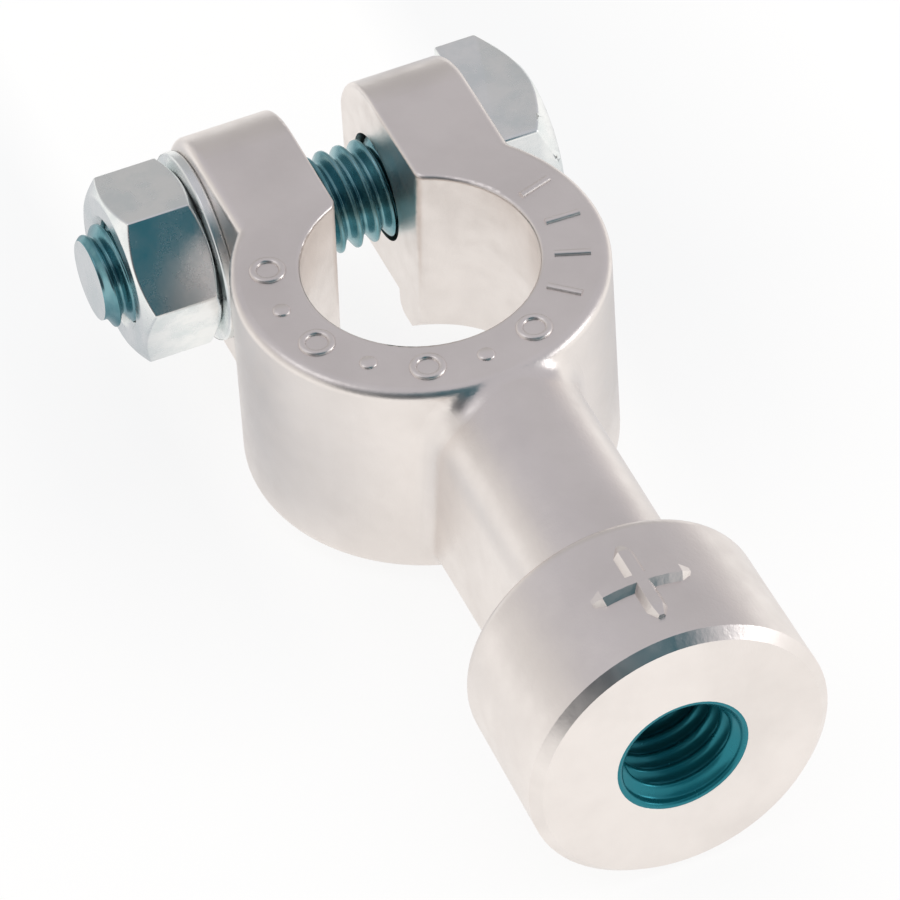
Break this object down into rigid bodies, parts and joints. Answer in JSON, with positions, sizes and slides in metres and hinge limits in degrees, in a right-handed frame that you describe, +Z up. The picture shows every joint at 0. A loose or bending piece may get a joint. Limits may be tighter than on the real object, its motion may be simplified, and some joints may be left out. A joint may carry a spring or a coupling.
{
  "type": "battery side terminal adapter",
  "caption": "Cast battery adapter: a split ring clamps a top post with a square-head bolt, washer and nut, and a round boss takes a side terminal bolt.",
  "frame": {"origin": "on the axis of the tapered post bore, level with the ring's bottom", "axes": "+Z up the post bore, +X from the post to the boss, along the boss's threaded hole; the clamp bolt lies along Y"},
  "size_m": [0.0718, 0.0365, 0.0238],
  "materials": {
    "casting": "satin, as cast zinc alloy",
    "plated_bolt": "bright zinc plated steel",
    "plated_washer": "bright zinc plated steel",
    "plated_nut": "bright zinc plated steel"
  },
  "bodies": {
    "adapter": {"terminal_body": "casting"},
    "bolt": {"clamp_bolt": "plated_bolt"},
    "washer": {"flat_washer": "plated_washer"},
    "nut": {"hex_nut": "plated_nut"}
  },
  "joints": [
    {"name": "bolt_turn", "type": "hinge", "parent": "adapter", "child": "bolt", "pos_m": [-0.0173, 0, 0.0097], "axis": [0, -1, 0], "continuous": true},
    {"name": "washer_slide", "type": "slide", "parent": "bolt", "child": "washer", "axis": [0, -1, 0], "range_m": [0, 0.00424]},
    {"name": "nut_turn", "type": "hinge", "parent": "washer", "child": "nut", "pos_m": [-0.0173, 0, 0.0097], "axis": [0, -1, 0], "range_deg": [0, 1080]}
  ],
  "couplings": [
    {"joint": "washer_slide", "follows": "nut_turn", "m_per_rad": 0.00022458}
  ]
}
